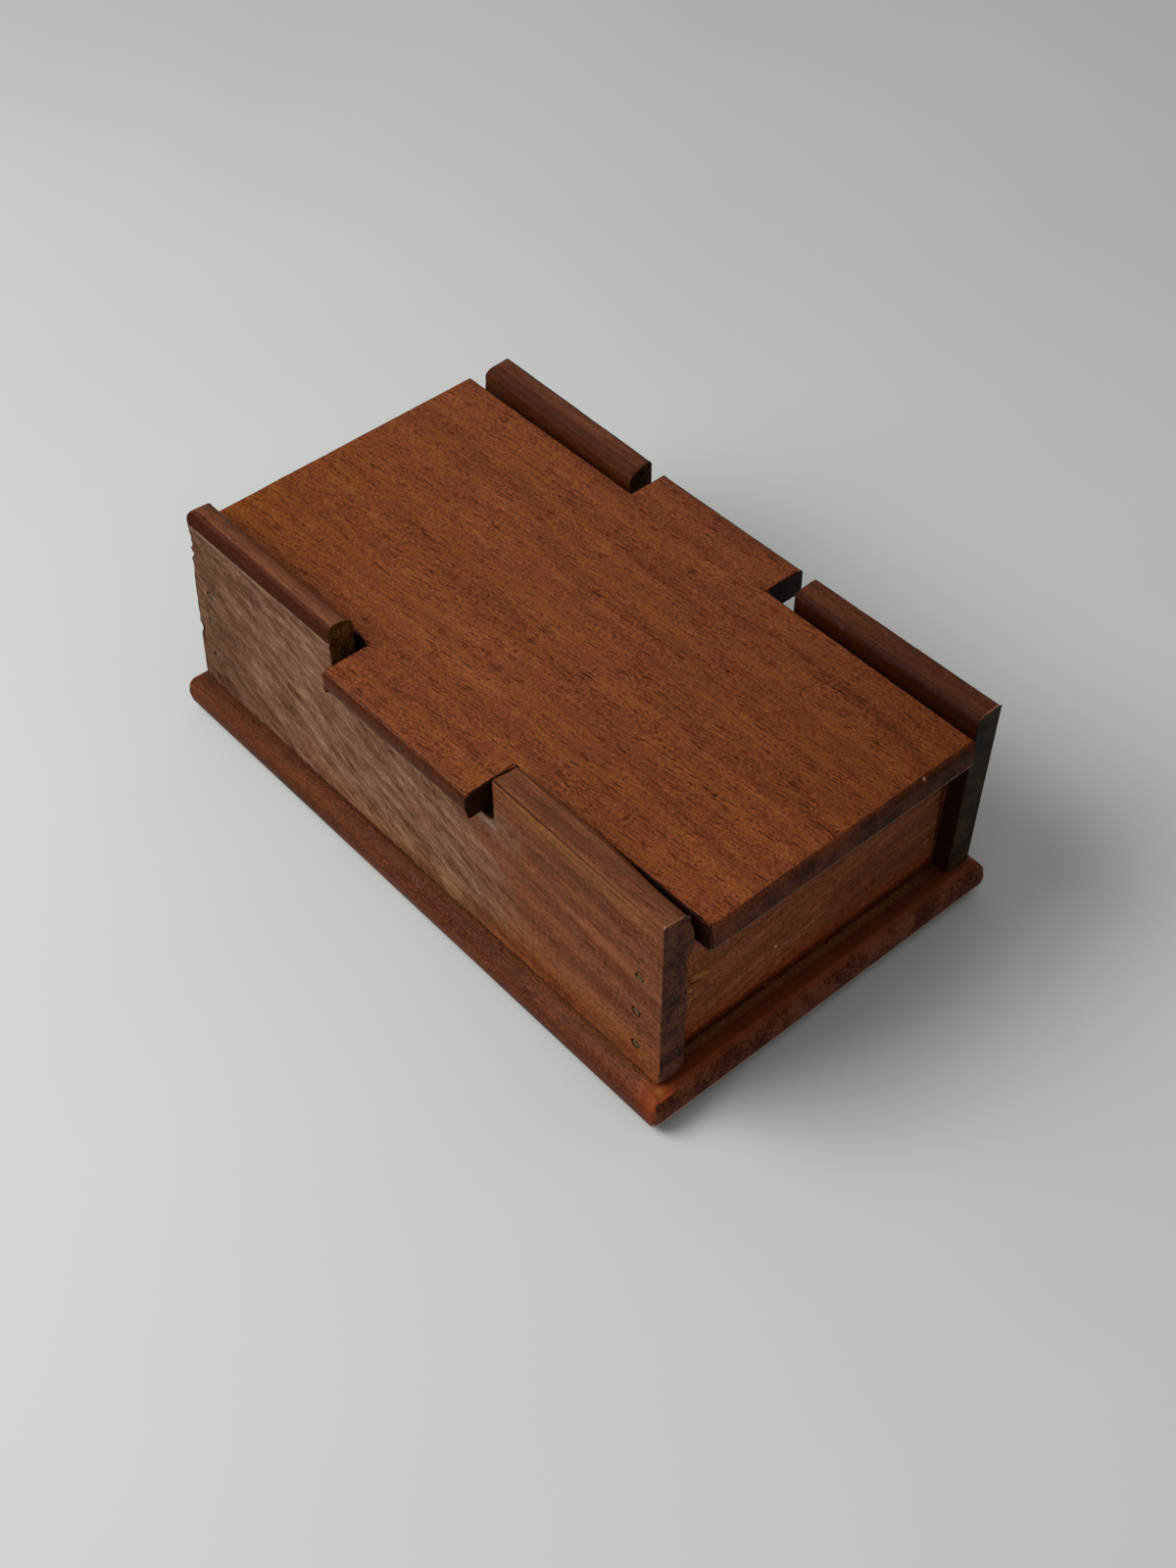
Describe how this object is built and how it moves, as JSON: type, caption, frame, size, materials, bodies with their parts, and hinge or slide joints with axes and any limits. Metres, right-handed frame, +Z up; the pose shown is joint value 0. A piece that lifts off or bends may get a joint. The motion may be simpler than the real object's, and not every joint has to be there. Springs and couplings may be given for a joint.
{
  "type": "lidded box",
  "caption": "Small wooden box on a rounded base board, with nailed butt joints and a loose cross-shaped lid that drops into a notch in each long side.",
  "frame": {"origin": "centre of the base board's underside", "axes": "+X along the box towards its front end, +Y across it towards its right side, +Z up"},
  "size_m": [0.2092, 0.1256, 0.0799],
  "materials": {
    "base_wood": "dark red-brown, waxed, worn at the edges",
    "side_wood": "grey-brown, dry and dusty, open grain",
    "end_wood": "brown, satin",
    "lid_wood": "red-brown with short dark pores, satin",
    "nails": "dull, darkened"
  },
  "bodies": {
    "box": {"base_board": "base_wood", "left_side": "side_wood", "right_side": "side_wood", "front_end": "end_wood", "back_end": "end_wood", "front_left_nail_1": "nails", "front_left_nail_2": "nails", "front_left_nail_3": "nails", "back_left_nail_1": "nails", "back_left_nail_2": "nails", "back_left_nail_3": "nails", "front_right_nail_1": "nails", "front_right_nail_2": "nails", "front_right_nail_3": "nails", "back_right_nail_1": "nails", "back_right_nail_2": "nails", "back_right_nail_3": "nails", "base_left_nail_1": "nails", "base_left_nail_2": "nails", "base_left_nail_3": "nails", "base_right_nail_1": "nails", "base_right_nail_2": "nails", "base_right_nail_3": "nails"},
    "lid": {"lid": "lid_wood"}
  },
  "joints": [
    {"name": "lid_lift", "type": "slide", "parent": "box", "child": "lid", "axis": [0, 0, 1], "range_m": [0, 0.12]}
  ]
}
